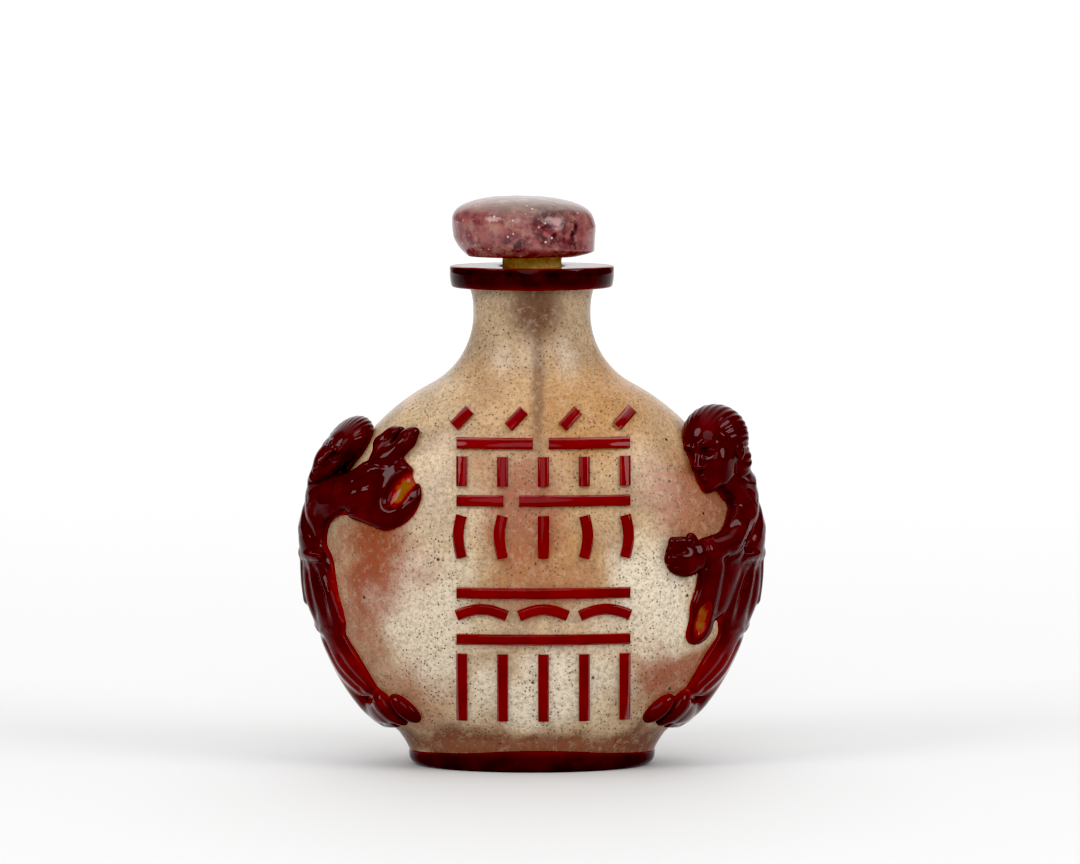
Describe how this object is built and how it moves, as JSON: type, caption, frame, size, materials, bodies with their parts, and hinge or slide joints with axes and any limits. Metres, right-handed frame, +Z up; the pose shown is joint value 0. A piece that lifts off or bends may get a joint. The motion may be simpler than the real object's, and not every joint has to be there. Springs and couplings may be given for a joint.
{
  "type": "snuff bottle",
  "caption": "Flattened round snuff bottle of bubbled glass with a carved ruby glass overlay, oval foot, lip ring, and a stone cap on a cork with a spoon",
  "frame": {"origin": "centre of the bottom of the part's bounding box, where the foot stands", "axes": "+Z up along the neck, +X across the broad body to the right dancer, -Y out of the inscribed front"},
  "size_m": [0.0524, 0.0296, 0.0635],
  "materials": {
    "snowflake_glass": "polished clear glass full of bubbles and specks",
    "ruby_glass": "carved and polished ruby overlay glass",
    "pink_stone": "polished cloudy pink stone",
    "cork": "aged cork",
    "spoon_brass": "tarnished brass"
  },
  "bodies": {
    "root": {"bottle": "snowflake_glass", "stopper_cap": "pink_stone", "cork": "cork", "spoon": "spoon_brass"}
  },
  "joints": []
}
